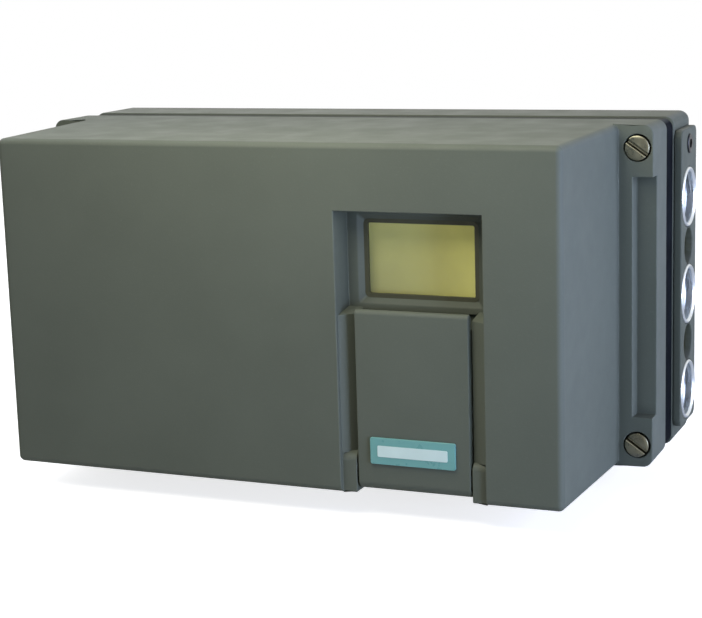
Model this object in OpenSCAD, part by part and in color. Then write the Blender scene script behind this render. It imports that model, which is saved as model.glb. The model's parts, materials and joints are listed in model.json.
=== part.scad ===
// Electropneumatic valve positioner with a moulded housing.
// X runs to the right, Y runs from the front to the mounting face, Z is up.
// The origin lies on the axis of the feedback shaft, in the plane of the mounting face.

/* [Housing] */
// Overall width over the side wings
body_w = 165; // [160:1:200]
// Overall height
body_h = 84; // [82:1:110]
// Depth from the front face to the mounting face
body_d = 84; // [82:1:110]
// Corner radius of wings and base
corner_r = 2.5; // [1.5:0.5:4]
// Thickness of the flat seal between cover and base
seal_t = 1.6; // [1:0.1:2.5]

/* [Base] */
// Depth of the base from the mounting face to its rim
base_d = 25.4; // [25:0.2:32]
// Side wall of the base
base_wall = 3.5; // [3:0.25:4.5]
// Floor of the base
base_floor = 4; // [3.5:0.25:6]
// Inset of the rim that the seal skirt covers
neck_in = 1; // [0.8:0.1:1.2]
// Depth of that inset rim
neck_d = 6.2; // [4:0.2:8]
// Distance between the mounting holes
mount_pitch = 50; // [46:1:54]
// Radius of the mounting holes
mount_r = 2.5; // [2:0.1:3]
// Depth of the mounting holes
mount_depth = 9; // [6:0.5:11]

/* [Cover] */
// Wall of the cover
cover_wall = 3; // [2:0.25:4]
// Width of one side wing beside the front box
wing_w = 8.5; // [8:0.5:10]
// Depth of the side wings
wing_d = 14; // [12:0.5:18]
// Depth of the groove between the screw bosses of a wing
groove_d = 4; // [2:0.5:6]
// Width of the ledge between the front box and the groove
ledge_w = 3.5; // [2:0.25:4.5]
// Height of one screw boss
boss_h = 12.5; // [11:0.5:16]
// Draft of the front box on each side
draft_w = 1.5; // [0.5:0.25:3]
// Draft of the front box at top and bottom
draft_h = 0.5; // [0.25:0.25:1]
// Edge radius of the front face
edge_r = 1.6; // [0.8:0.2:2.6]
// Distance of the cover screws from the side edge
screw_side = 3.9; // [3.8:0.1:5]
// Distance of the cover screws from top and bottom
screw_top = 5.5; // [5:0.25:7]

/* [Display and keys] */
// Middle of the recess, to the right of the housing's middle
rec_x = 36; // [20:0.5:42]
// Width of the recess
rec_w = 36; // [34:0.2:40]
// Distance from the top of the housing down to the recess
rec_top = 16.2; // [12:0.2:20]
// Depth of the recess over the keys
rec_d = 9; // [8:0.25:11]
// Depth of the recess at the display
win_d = 8; // [6:0.25:9]
// Width of the display window opening
win_w = 26.4; // [24:0.2:28]
// Height of the display window opening
win_h = 16.8; // [14:0.2:18]
// Width of the bevel round the window
bevel_w = 2.2; // [1:0.1:2.4]
// Thickness of the window pane
pane_t = 1.8; // [1:0.1:3]
// Width of the key flap
flap_w = 28; // [26:0.2:29]
// Height of the key flap
flap_h = 43.6; // [38:0.2:45]
// Thickness of the key flap
flap_t = 2.2; // [1.8:0.1:2.6]
// Set-back of the flap behind the front face
flap_set = 1.2; // [1:0.1:2]
// Radius of the flap hinge pin
pin_r = 1; // [0.8:0.05:1.2]
// Radius of a key
key_r = 3.5; // [2.5:0.1:4]
// Distance between the keys
key_pitch = 9.4; // [9.2:0.1:10]
// Height of a key above the recess floor
key_proud = 2; // [1:0.1:2.6]
// Travel of a key
key_travel = 1.2; // [0.6:0.1:1.6]

/* [Feedback shaft] */
// Radius of the shaft's free end
shaft_r = 4; // [3:0.25:4.5]
// Length of the free end beyond the mounting face
shaft_out = 12.6; // [10:0.2:30]
// Radius of the shaft in its bush
journal_r = 5; // [4.75:0.25:6]
// Wall of the shaft bush
bush_wall = 3; // [2.5:0.25:4]
// Length of the shaft bush
bush_len = 10; // [9:0.5:11]
// Module of the gears
gear_m = 0.8; // [0.75:0.05:0.85]
// Teeth of the drive gear
drive_teeth = 60; // [52:4:64]
// Teeth of the potentiometer pinion
pinion_teeth = 20; // [16:2:24]
// Thickness of the drive gear
gear_t = 4; // [3:0.25:5]

/* [Air side] */
// Distance between the air ports
port_pitch = 25; // [24:0.5:26]
// Height of the lowest air port above the underside
port_low = 13; // [12.5:0.25:14]
// Distance of the port axes from the mounting face
port_set = 10.8; // [10.6:0.1:11.4]
// Radius of the port thread, at its major diameter
port_r = 6.58; // [6:0.02:6.8]
// Depth of the port thread
port_len = 12; // [8:0.5:13]
// Wall of a port bush
port_wall = 1; // [0.8:0.1:1.2]
// How far the port bushes stand out of the side
port_proud = 2.4; // [2:0.2:5]
// Thickness of the raised land round the ports
land_t = 2; // [1.6:0.1:2.2]
// Width of that land
land_w = 16.8; // [16.6:0.1:17]
// Depth of the air manifold behind the side wall
manifold_w = 19; // [18:0.5:21]
// Radius of a restrictor screw
restrictor_r = 3.6; // [2.5:0.1:4]

/* [Cable side] */
// Distance of the cable entries above and below the shaft axis
entry_z = 19; // [17:0.5:22]
// Distance of the cable entries from the mounting face
entry_set = 13; // [12.8:0.1:14]
// Radius of the entry thread, at its major diameter
entry_r = 10; // [8:0.1:10.2]
// Width across the flats of gland and plug
hex_af = 24; // [22:0.5:25]
// Radius of the cable that the gland seal takes
cable_r = 4.5; // [3:0.1:5]
// Length of the gland outside the housing
gland_out = 22; // [19:0.5:30]

/* [Hidden] */
$fn = 48;
eps = 0.01;
fit_gap = 0.1;
run_gap = 0.05;
free_gap = 0.3;
hull_fn = 32;
over = 1;
small_r = 0.5;
slot_turn = 35;
slot_share = 0.28;

half_w = body_w / 2;
half_h = body_h / 2;
y_front = -body_d;
y_rim = -base_d;
y_part = y_rim - seal_t;
y_wing = y_part - wing_d;
y_groove = y_wing + groove_d;
y_neck = y_rim + neck_d;
y_floor = -base_floor;
box_w = body_w - 2 * wing_w;
front_w = box_w - 2 * draft_w;
front_h = body_h - 2 * draft_h;
in_w = half_w - base_wall;
in_h = half_h - base_wall;
rear_r = 2;

screw_x = half_w - screw_side;
screw_z = half_h - screw_top;
screw_r = 2;
screw_head_r = 3;
screw_head_h = 2.6;
screw_sink = 2.2;
column_r = 4.6;
column_clear = 0.5;
skirt_t = 0.6;
port_out_r = port_r + port_wall;
y_column = -port_set - port_out_r - column_clear;
screw_tip_gap = 0.4;
mount_boss_wall = 3.5;
mount_boss_floor = 3;
seal_lap = 1;
screw_len = y_column - screw_tip_gap - y_wing - screw_sink;

rec_left = rec_x - rec_w / 2;
rec_right = rec_x + rec_w / 2;
z_rec = half_h - rec_top;
pocket_wall = 2.6;
pocket_floor = 3;
y_keys = y_front + rec_d;
y_pocket = y_keys + pocket_floor;
y_win = y_front + win_d;
bevel_d = 2;
y_pane = y_win + bevel_d;
win_rim = 1.6;
z_win = z_rec - win_rim - bevel_w - win_h / 2;
z_div = z_win - win_h / 2 - bevel_w - win_rim;
pane_lap = 1.2;
pane_w = win_w + 2 * pane_lap;
pane_h = win_h + 2 * pane_lap;
y_lcd = y_pane + pane_t + free_gap;
lcd_t = 2.8;
lcd_frame_t = 2.4;
lcd_frame_wall = 1.6;
lcd_set = 0.6;
lcd_lip = 3;
board_t = 1.6;
y_disp = y_lcd + lcd_t + lcd_frame_t;

flap_lift = 0.6;
z_flap = -front_h / 2 + flap_lift;
y_flap = y_front + flap_set;
barrel_wall = 1.2;
barrel_r = pin_r + barrel_wall;
y_pin = y_flap + barrel_r;
z_pin = z_flap + barrel_r + free_gap;
pin_hold = 2;
flap_left = rec_x - flap_w / 2;
flap_right = rec_x + flap_w / 2;
ear_gap = 0.4;
ear_up = 6.5;
ear_round = 2;
z_ear = z_pin + ear_up;
label_w = 21.2;
label_h = 6.4;
label_t = 0.6;
label_up = 10.2;
flap_rib_t = 1.4;
flap_rib_low = 1.5;
flap_rib_top = 4;
key_z = -16;
key_flange_w = 1;
key_flange_r = key_r + key_flange_w;
key_flange_t = 1;
key_dish_r = 12.9;
key_dish_d = 0.3;
y_key_back = y_pocket + run_gap + key_flange_t;
y_switch = y_key_back + key_travel + fit_gap;
switch_w = 6;
switch_nose_r = 1.6;
switch_nose_h = 1;

bush_r = journal_r + bush_wall;
bush_boss_wall = 4;
bush_boss_low = 1;
dish_wall = 5;
dish_r = bush_r + dish_wall;
dish_d = 2;
y_bush = -dish_d - bush_len;
clip_t = 0.8;
clip_w = 1.8;
clip_r = journal_r + clip_w;
clip_groove = 0.6;
clip_gap = 3;
shaft_chamfer = 0.8;
shaft_step = 0.4;
oring_r = 0.8;
oring_squeeze = 0.02;
oring_deep = 4;
y_oring = -dish_d - oring_deep;
collar_w = 2.5;
collar_r = journal_r + collar_w;
collar_t = 2;
y_gear = y_bush - fit_gap - collar_t;
gear_hub_w = 4;
gear_hub_r = journal_r + gear_hub_w;
gear_holes = 6;
gear_hole_r = 4;
gear_hole_x = (gear_hub_r + gear_m * drive_teeth / 2) / 2;
washer_t = 1.2;
washer_plate = 0.5;
washer_flat = 2;
washer_w = 4.5;
washer_r = journal_r + washer_w;
wheel_r = 12;
wheel_t = 6;
wheel_notches = 24;
notch_r = 0.9;
y_wheel = y_gear - gear_t - washer_t;
shaft_tail = 1;
shaft_end = y_wheel - wheel_t - shaft_tail;
pressure_angle = 20;
root_depth = 1.25;
backlash = 0.16;
gear_centre = gear_m * (drive_teeth + pinion_teeth) / 2 + run_gap;
pinion_over = 0.6;
pot_r = 10;
pot_t = 9;
pot_shaft_r = 3;
pot_nose_r = 4.5;
pot_nose = 2;
pot_back = 2;
bracket_t = 1.5;
bracket_gap = 2;
y_bracket = y_gear - gear_t - bracket_gap;
bracket_out = 12;
bracket_in = 9;
bracket_x = [-gear_centre - bracket_out, -gear_centre + bracket_in];
bracket_z = 22;
bracket_post_out = 6;
bracket_post_z = 17;
bracket_post = [-gear_centre - bracket_post_out, bracket_post_z];

post_r = 3.5;
spacer_r = 3;
small_screw_r = 1.4;
small_head_r = 2.6;
small_head_h = 1.8;
small_grip = 7;
board_gap = 8;
y_main = y_rim - board_gap;
board_side_gap = 1.5;
board_end_gap = 2;
board_left = -box_w / 2 + cover_wall + board_side_gap;
board_right = rec_right + board_end_gap;
board_h = body_h - 2 * cover_wall - 2 * board_end_gap;
post_edge = 4;
post_right = 33;
y_board = y_main - board_t;
main_posts = [
  for (x = [board_left + post_edge, post_right], z = [-1, 1])
    [x, z * (board_h / 2 - post_edge)]
];
disp_side = 2;
disp_over = 6;
disp_under = 14;
disp_edge_x = 4;
disp_edge_z = 3;
disp_left = rec_left - disp_side;
disp_right = rec_right + disp_side;
disp_top = z_win + pane_h / 2 + lcd_frame_wall + disp_over;
disp_bottom = key_z - disp_under;
disp_posts = [
  for (x = [disp_left + disp_edge_x, disp_right - disp_edge_x])
    for (z = [disp_top - disp_edge_z, disp_bottom + disp_edge_z])
      [x, z]
];
chip_x = [-20, -6];
chip_z = [-18, 6];
chip_h = 14;
chip_t = 2;
can_x = 4;
can_z = [-24, -8, 8, 24];
can_r = 3.2;
can_h = 8;
header_x = [-28, -24];
header_z = [-16, 16];
header_t = 7;
term_edge = 8;
term_x = board_left + term_edge;
term_w = 22;
term_h = 56;
term_d = 12;
term_ways = 8;
term_pitch = term_h / term_ways;
term_screw_r = 2;
term_screw_x = term_x + 0.65 * term_w;
term_screw_sink = 1.5;
term_bore = 5;
term_slot = 0.6;
term_step_w = 0.3 * term_w;
term_step_d = 4;
wire_deep = 6;
wire_y = [-7, -3];
wire_half = 2;

port_z = [for (k = [2:-1:0]) -half_h + port_low + k * port_pitch];
restrict_z = [for (k = [0, 1]) (port_z[k] + port_z[k + 1]) / 2];
land_down = 3.5;
land_top = half_h - land_down;
land_bottom = port_z[2] - land_w / 2;
land_r = 2;
port_bottom = 2.5;
port_duct_r = 2.5;
port_chamfer = 0.6;
port_edge = 0.4;
x_port = half_w + port_proud;
x_port_in = x_port - port_len - port_chamfer - port_bottom;
manifold_x = in_w - manifold_w;
manifold_d = 18.5;
seat_d = 1.8;
y_seat = y_floor + seat_d;
seat_lap = 1;
x_seat = x_port_in - seat_lap;
y_manifold = y_floor - manifold_d;
manifold_h = 2 * in_h - 2 * free_gap;
restrict_sink = 2;
restrict_len = 11;
restrict_tip = 3;
restrict_slot = 1;
restrict_slot_d = 1.2;
restrict_clear = 1;
x_restrict = half_w - restrict_sink;
silencer_r = 4;
silencer_len = 8;
silencer_sink = 1;
silencer_wall = 0.6;
silencer_x = manifold_x + silencer_r + silencer_wall;
z_silencer = -half_h + silencer_sink;
hold_edge = 3.2;
hold_x = manifold_x + hold_edge;
hold_head_r = 3;
hold_grip = 1.5;
hold_boss_wall = 1;
hold_boss_r = screw_r + hold_boss_wall;
hold_boss_h = 4.4;
y_hold = y_floor - hold_boss_h;
valve_w = 21;
valve_h = 58;
valve_d = 18;
valve_rib = 4;
valve_cut = 3;
valve_cut_half = 1;
valve_x = manifold_x - valve_w;
cap_r = 5;
cap_t = 3;
cap_pitch = 14;
cap_count = 4;

washer_face_t = 1.2;
washer_face_in = 0.2;
washer_face_r = hex_af / 2 - washer_face_in;
pad_rim = 0.8;
pad_r = washer_face_r + pad_rim;
entry_grip = 8;
entry_boss = 5;
entry_boss_wall = 1.5;
gland_hex_t = 5;
cable_space = 2;
gland_bore_r = cable_r + cable_space;
gland_neck_in = 0.8;
gland_neck_r = entry_r - gland_neck_in;
gland_seal_r = gland_neck_r - free_gap;
gland_seal_len = 6;
nut_wall = 2.2;
nut_lip = 2.5;
nut_gap = 0.8;
nut_face = 4;
plug_head_t = 4;
plug_wall = 2;
plug_face = 1;

// Shapes that several pieces use

module rounded(w, h, r) {
  square([w - 2 * r, h], center = true);
  square([w, h - 2 * r], center = true);
  for (x = [-1, 1], z = [-1, 1])
    translate([x * (w / 2 - r), z * (h / 2 - r)])
      circle(r);
}

// Flat plate across the housing, from y0 back to y1
module slab(w, h, r, y0, y1) {
  translate([0, y1, 0])
    rotate([90, 0, 0])
      linear_extrude(y1 - y0)
        rounded(w, h, r);
}

// Box given by its limits
module block(x, y, z) {
  translate([x[0], y[0], z[0]])
    cube([x[1] - x[0], y[1] - y[0], z[1] - z[0]]);
}

module along_y(r, y0, y1, x = 0, z = 0) {
  translate([x, y1, z])
    rotate([90, 0, 0])
      cylinder(r = r, h = y1 - y0);
}

module along_x(r, x0, x1, y = 0, z = 0) {
  translate([x0, y, z])
    rotate([0, 90, 0])
      cylinder(r = r, h = x1 - x0);
}

module along_z(r, z0, z1, x, y) {
  translate([x, y, z0])
    cylinder(r = r, h = z1 - z0);
}

module hex_along_x(af, x0, x1, y, z) {
  translate([x0, y, z])
    rotate([0, 90, 0])
      cylinder(r = af / 2 / cos(30), h = x1 - x0, $fn = 6);
}

// Cheese-head screw pointing to the back, with its head's seat at y
module screw_y(x, z, y, len, r, head_r, head_h) {
  difference() {
    union() {
      along_y(head_r, y - head_h, y, x, z);
      along_y(r, y - eps, y + len, x, z);
    }
    translate([x, y - head_h, z])
      rotate([0, slot_turn, 0])
        cube([3 * head_r, head_h, slot_share * head_r], center = true);
  }
}

// Involute gear outline
function involute(a) = tan(a) * 180 / PI - a;
function half_tooth(teeth, r) =
  let (rp = gear_m * teeth / 2, rb = rp * cos(pressure_angle))
  90 / teeth - backlash / 4 / rp * 180 / PI + involute(pressure_angle)
  - involute(r > rb ? acos(rb / r) : 0);
function tooth_radii(teeth) =
  let (rp = gear_m * teeth / 2, root = rp - root_depth * gear_m, tip = rp + gear_m)
  [for (k = [0:4]) root + (tip - root) * k / 4];
function polar(r, a) = [r * cos(a), r * sin(a)];

module gear_outline(teeth) {
  radii = tooth_radii(teeth);
  polygon([
    for (i = [0:teeth - 1])
      for (k = [0:9])
        let (j = k < 5 ? k : 9 - k, side = k < 5 ? -1 : 1)
        polar(radii[j], i * 360 / teeth + side * half_tooth(teeth, radii[j]))
  ]);
}

module gear_y(teeth, y0, y1, turn = 0) {
  translate([0, y1, 0])
    rotate([90, 0, 0])
      linear_extrude(y1 - y0)
        rotate(turn)
          gear_outline(teeth);
}

// Housing

module base_outside() {
  hull() {
    slab(body_w, body_h, corner_r, y_neck, -rear_r, $fn = hull_fn);
    slab(body_w - 2 * rear_r, body_h - 2 * rear_r, corner_r, -rear_r, 0, $fn = hull_fn);
  }
  slab(body_w - 2 * neck_in, body_h - 2 * neck_in, corner_r, y_rim, y_neck + eps);
  intersection() {
    for (z = [-entry_z, entry_z])
      along_x(pad_r, -half_w, -in_w, -entry_set, z);
    block([-half_w, half_w], [y_rim, -rear_r], [-half_h, half_h]);
  }
}

module base_inside() {
  block([-in_w, in_w], [y_rim - over, y_floor], [-in_h, in_h]);
  block([x_seat, in_w], [y_floor - over, y_seat], [-manifold_h / 2 - fit_gap, manifold_h / 2 + fit_gap]);
}

module base_posts() {
  for (x = [-1, 1], z = [-1, 1]) {
    along_y(column_r, y_rim, y_column, x * screw_x, z * screw_z);
    along_y(mount_r + mount_boss_wall, -mount_depth - mount_boss_floor, y_floor + eps,
            x * mount_pitch / 2, z * mount_pitch / 2);
  }
  for (p = main_posts)
    along_y(post_r, y_main, y_floor + eps, p[0], p[1]);
  for (z = [-1, 1])
    along_y(post_r, y_bracket, y_floor + eps, bracket_post[0], z * bracket_post[1]);
  along_y(bush_r + bush_boss_wall, y_bush + bush_boss_low, y_floor + eps);
  for (z = restrict_z)
    along_y(hold_boss_r, y_hold, y_floor + eps, hold_x, z);
  for (z = [-entry_z, entry_z])
    along_x(entry_r + entry_boss_wall, -in_w - eps, -in_w + entry_boss, -entry_set, z);
}

module base_holes() {
  for (x = [-1, 1], z = [-1, 1]) {
    along_y(screw_r + fit_gap, y_rim - over, y_column + over, x * screw_x, z * screw_z);
    along_y(mount_r, -mount_depth, 1, x * mount_pitch / 2, z * mount_pitch / 2);
  }
  for (p = main_posts)
    along_y(small_screw_r + fit_gap, y_main - over, y_main + small_grip + over, p[0], p[1]);
  for (z = [-1, 1])
    along_y(small_screw_r + fit_gap, y_bracket - over, y_bracket + small_grip + over,
            bracket_post[0], z * bracket_post[1]);
  along_y(bush_r + run_gap, y_bush - over, 1);
  along_y(dish_r, -dish_d, 1);
  for (z = port_z)
    along_x(port_out_r + fit_gap, in_w - over, half_w + over, -port_set, z);
  for (z = restrict_z)
    along_x(restrictor_r + restrict_clear, in_w - over, half_w + over, -port_set, z);
  along_z(silencer_r + fit_gap, -half_h - over, -in_h + over, silencer_x, -port_set);
  for (z = restrict_z)
    along_y(screw_r + fit_gap, y_hold - over, y_floor + base_floor / 2, hold_x, z);
  for (z = [-entry_z, entry_z])
    along_x(entry_r + fit_gap, -half_w - over, -in_w + entry_boss + over, -entry_set, z);
}

module base_housing() {
  color("#4c5148")
    difference() {
      union() {
        difference() {
          base_outside();
          base_inside();
        }
        intersection() {
          base_posts();
          union() {
            base_outside();
            block([-in_w, in_w], [y_front, 0], [-in_h, in_h]);
          }
        }
      }
      base_holes();
    }
}

module cover_box() {
  hull() {
    for (x = [-1, 1], z = [-1, 1])
      translate([x * (front_w / 2 - edge_r), y_front + edge_r, z * (front_h / 2 - edge_r)])
        sphere(edge_r, $fn = hull_fn);
    slab(box_w, body_h, edge_r, y_wing, y_wing + over, $fn = hull_fn);
  }
}

module cover_cavity() {
  hull() {
    slab(front_w - 2 * cover_wall, front_h - 2 * cover_wall, edge_r,
         y_front + cover_wall, y_front + cover_wall + 1, $fn = hull_fn);
    slab(box_w - 2 * cover_wall, body_h - 2 * cover_wall, edge_r, y_part, y_part + over, $fn = hull_fn);
  }
}

module wing_grooves() {
  for (x = [-1, 1])
    block(x > 0 ? [box_w / 2 + ledge_w, half_w + over] : [-half_w - over, -box_w / 2 - ledge_w],
          [y_wing - over, y_groove], [-half_h + boss_h, half_h - boss_h]);
}

module recess_pocket() {
  block([rec_left - pocket_wall, rec_right + pocket_wall], [y_front + cover_wall / 2, y_pocket],
        [-front_h / 2 + cover_wall / 2, z_div]);
  block([rec_left - pocket_wall, rec_right + pocket_wall], [y_front + cover_wall / 2, y_pane + pane_t],
        [z_div - pocket_wall, z_rec + pocket_wall]);
}

// Ears that carry the flap's pin, one beside each end of the flap
module hinge_ears() {
  for (x = [[rec_left - eps, flap_left - ear_gap], [flap_right + ear_gap, rec_right + eps]]) {
    block(x, [y_flap, y_keys + eps], [-front_h / 2, z_ear - ear_round]);
    block(x, [y_flap + ear_round, y_keys + eps], [-front_h / 2, z_ear]);
    along_x(ear_round, x[0], x[1], y_flap + ear_round, z_ear - ear_round);
  }
}

module recess_space() {
  block([rec_left, rec_right], [y_front - over, y_keys], [-half_h - over, z_div]);
  block([rec_left, rec_right], [y_front - over, y_win], [z_div - eps, z_rec]);
  translate([rec_x, 0, z_win]) {
    hull() {
      slab(win_w + 2 * bevel_w, win_h + 2 * bevel_w, small_r, y_win - eps, y_win, $fn = hull_fn);
      slab(win_w, win_h, small_r, y_pane, y_pane + eps, $fn = hull_fn);
    }
    slab(pane_w + 2 * fit_gap, pane_h + 2 * fit_gap, small_r, y_pane, y_pane + pane_t + 4);
  }
  for (k = [-1:1])
    along_y(key_r + fit_gap, y_keys - over, y_pocket + over, rec_x + k * key_pitch, key_z);
}

module cover() {
  color("#5f655c")
    difference() {
      union() {
        difference() {
          union() {
            difference() {
              union() {
                cover_box();
                slab(body_w, body_h, corner_r, y_wing, y_part);
              }
              cover_cavity();
              wing_grooves();
            }
            recess_pocket();
          }
          recess_space();
        }
        hinge_ears();
      }
      along_x(pin_r + run_gap, rec_left - pin_hold, rec_right + pin_hold, y_pin, z_pin);
      for (x = [-1, 1], z = [-1, 1]) {
        along_y(screw_head_r + free_gap, y_wing - over, y_wing + screw_sink, x * screw_x, z * screw_z);
        along_y(screw_r + free_gap, y_wing, y_part + over, x * screw_x, z * screw_z);
      }
    }
}

module cover_seal() {
  color("#17181a")
    difference() {
      union() {
        slab(body_w - 2 * neck_in + 2 * skirt_t, body_h - 2 * neck_in + 2 * skirt_t, corner_r, y_part, y_rim);
        slab(body_w - 2 * neck_in + 2 * skirt_t, body_h - 2 * neck_in + 2 * skirt_t, corner_r,
             y_rim - eps, y_neck);
      }
      slab(body_w - 2 * neck_in, body_h - 2 * neck_in, corner_r, y_rim, y_neck + over);
      block([-box_w / 2, box_w / 2], [y_part - over, y_rim + over], [-in_h + seal_lap, in_h - seal_lap]);
      for (x = [-1, 1], z = [-1, 1])
        along_y(screw_r + free_gap, y_part - over, y_rim + over, x * screw_x, z * screw_z);
      for (z = [-entry_z, entry_z])
        intersection() {
          along_x(pad_r + free_gap, -half_w - over, -in_w, -entry_set, z);
          block([-half_w - over, -in_w], [y_rim, 0], [-half_h, half_h]);
        }
    }
}

module cover_screws() {
  color("#8f8a70")
    for (x = [-1, 1], z = [-1, 1])
      screw_y(x * screw_x, z * screw_z, y_wing + screw_sink, screw_len, screw_r, screw_head_r, screw_head_h);
}

// Display and keys

module window_pane() {
  color("#d8dcc8", 0.4)
    translate([rec_x, 0, z_win])
      slab(pane_w, pane_h, small_r, y_pane, y_pane + pane_t);
}

module display_glass() {
  color("#9a9a5c")
    translate([rec_x, 0, z_win])
      slab(pane_w, pane_h, small_r, y_lcd, y_lcd + lcd_t);
}

module display_frame() {
  color("#202226")
    translate([rec_x, 0, z_win])
      difference() {
        slab(pane_w + 2 * lcd_frame_wall, pane_h + 2 * lcd_frame_wall, 2 * small_r, y_lcd + lcd_set, y_disp);
        slab(pane_w + 2 * fit_gap, pane_h + 2 * fit_gap, small_r, y_lcd, y_lcd + lcd_t);
        slab(pane_w - 2 * lcd_lip, pane_h - 2 * lcd_lip, 2 * small_r, y_lcd, y_disp + over);
      }
}

module display_board() {
  color("#2f5d3a")
    difference() {
      block([disp_left, disp_right], [y_disp, y_disp + board_t], [disp_bottom, disp_top]);
      for (p = disp_posts)
        along_y(small_screw_r + fit_gap, y_disp - over, y_disp + board_t + over, p[0], p[1]);
    }
}

module display_spacers() {
  color("#b9a25a")
    for (p = disp_posts)
      difference() {
        translate([p[0], y_board, p[1]])
          rotate([90, 0, 0])
            cylinder(r = spacer_r, h = y_board - board_t - y_disp, $fn = 6);
        along_y(small_screw_r + fit_gap, y_disp, y_disp + board_t + small_grip + over, p[0], p[1]);
      }
}

module display_screws() {
  color("#c9ccd2")
    for (p = disp_posts)
      screw_y(p[0], p[1], y_disp, small_grip, small_screw_r, small_head_r, small_head_h);
}

module key_switches() {
  color("#2a2b2e")
    for (k = [-1:1])
      translate([rec_x + k * key_pitch, 0, key_z]) {
        slab(switch_w, switch_w, small_r, y_switch + switch_nose_h, y_disp);
        along_y(switch_nose_r, y_switch, y_switch + switch_nose_h + eps);
      }
}

module key(x) {
  color("#3a3d3b")
    translate([x, 0, key_z])
      difference() {
        union() {
          along_y(key_r, y_keys - key_proud, y_pocket + run_gap + eps);
          along_y(key_flange_r, y_pocket + run_gap, y_key_back);
        }
        translate([0, y_keys - key_proud + key_dish_d - key_dish_r, 0])
          sphere(key_dish_r);
      }
}

module key_mode() { key(rec_x - key_pitch); }
module key_down() { key(rec_x); }
module key_up() { key(rec_x + key_pitch); }

module key_flap() {
  z_top = z_flap + flap_h;
  color("#5f655c")
    difference() {
      union() {
        block([flap_left, flap_right], [y_flap, y_flap + flap_t], [z_pin, z_top - flap_t / 2]);
        along_x(flap_t / 2, flap_left, flap_right, y_flap + flap_t / 2, z_top - flap_t / 2);
        along_x(barrel_r, flap_left, flap_right, y_pin, z_pin);
        for (x = [flap_left, flap_right - flap_rib_t])
          block([x, x + flap_rib_t], [y_flap, y_keys - key_proud - free_gap],
                [z_pin + barrel_r + flap_rib_low, z_top - flap_rib_top]);
      }
      along_x(pin_r + run_gap, flap_left - over, flap_right + over, y_pin, z_pin);
    }
}

module flap_plate() {
  color("#4f9c98")
    translate([rec_x, 0, z_flap + label_up])
      slab(label_w, label_h, small_r, y_flap - label_t, y_flap);
}

module flap_pin() {
  color("#3a3c40")
    along_x(pin_r, rec_left - pin_hold + fit_gap, rec_right + pin_hold - fit_gap, y_pin, z_pin);
}

// Electronics

module main_board() {
  color("#2f5d3a")
    difference() {
      block([board_left, board_right], [y_board, y_main], [-board_h / 2, board_h / 2]);
      for (p = main_posts)
        along_y(small_screw_r + fit_gap, y_board - over, y_main + over, p[0], p[1]);
    }
}

module board_screws() {
  color("#c9ccd2")
    for (p = main_posts)
      screw_y(p[0], p[1], y_board, small_grip, small_screw_r, small_head_r, small_head_h);
}

module board_parts() {
  color("#1c1d20") {
    for (z = chip_z)
      block(chip_x, [y_board - chip_t, y_board], [z, z + chip_h]);
    for (z = can_z)
      along_y(can_r, y_board - can_h, y_board, can_x, z);
    block(header_x, [y_board - header_t, y_board], header_z);
  }
}

function term_z(i) = -term_h / 2 + (i + 0.5) * term_pitch;

module terminal_block() {
  y_top = y_board - term_d;
  color("#3d6b4a")
    difference() {
      block([term_x, term_x + term_w], [y_top, y_board], [-term_h / 2, term_h / 2]);
      for (i = [0:term_ways - 1]) {
        along_y(term_screw_r + fit_gap, y_top - over, y_top + term_bore, term_screw_x, term_z(i));
        block([term_x - over, term_x + wire_deep], [y_board + wire_y[0], y_board + wire_y[1]],
              [term_z(i) - wire_half, term_z(i) + wire_half]);
      }
      block([term_x - over, term_x + term_step_w], [y_top - over, y_top + term_step_d],
            [-term_h / 2 - over, term_h / 2 + over]);
    }
}

module terminal_screws() {
  y_head = y_board - term_d + term_screw_sink;
  color("#c9ccd2")
    for (i = [0:term_ways - 1])
      difference() {
        along_y(term_screw_r, y_head, y_board - term_d + term_bore, term_screw_x, term_z(i));
        translate([term_screw_x, y_head, term_z(i)])
          cube([3 * term_screw_r, 2 * term_slot, term_slot], center = true);
      }
}

// Air side

module air_manifold() {
  color("#8f9494")
    difference() {
      union() {
        block([manifold_x, in_w], [y_manifold, y_floor], [-manifold_h / 2, manifold_h / 2]);
        block([x_seat + fit_gap, in_w], [y_floor - eps, y_seat], [-manifold_h / 2, manifold_h / 2]);
      }
      for (z = port_z) {
        along_x(port_out_r + run_gap, x_port_in, in_w + over, -port_set, z);
        along_x(port_duct_r, manifold_x - over, x_port_in + over, -port_set, z);
      }
      for (z = restrict_z) {
        along_x(restrictor_r + run_gap, x_restrict - restrict_len, in_w + over, -port_set, z);
        along_x(restrictor_r / 2 + run_gap, x_restrict - restrict_len - restrict_tip - over, in_w,
                -port_set, z);
        along_y(screw_r + fit_gap, y_manifold - over, y_floor + over, hold_x, z);
        along_y(hold_boss_r + fit_gap, y_hold - fit_gap, y_floor + over, hold_x, z);
      }
      along_z(silencer_r + run_gap, -manifold_h / 2 - over, z_silencer + silencer_len, silencer_x, -port_set);
      for (z = [-1, 1])
        along_y(column_r + free_gap, y_manifold - over, y_column + free_gap, screw_x, z * screw_z);
    }
}

module manifold_screws() {
  color("#c9ccd2")
    for (z = restrict_z)
      screw_y(hold_x, z, y_manifold, manifold_d + hold_grip, screw_r, hold_head_r, screw_head_h);
}

module port_bushes() {
  color("#c3cbd0")
    for (z = port_z)
      translate([x_port, -port_set, z])
        rotate([0, -90, 0])
          rotate_extrude()
            polygon([
              [port_r + port_chamfer, 0],
              [port_out_r - port_edge, 0],
              [port_out_r, port_edge],
              [port_out_r, x_port - x_port_in],
              [port_duct_r, x_port - x_port_in],
              [port_duct_r, port_chamfer + port_len],
              [port_r, port_chamfer + port_len],
              [port_r, port_chamfer]
            ]);
}

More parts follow.
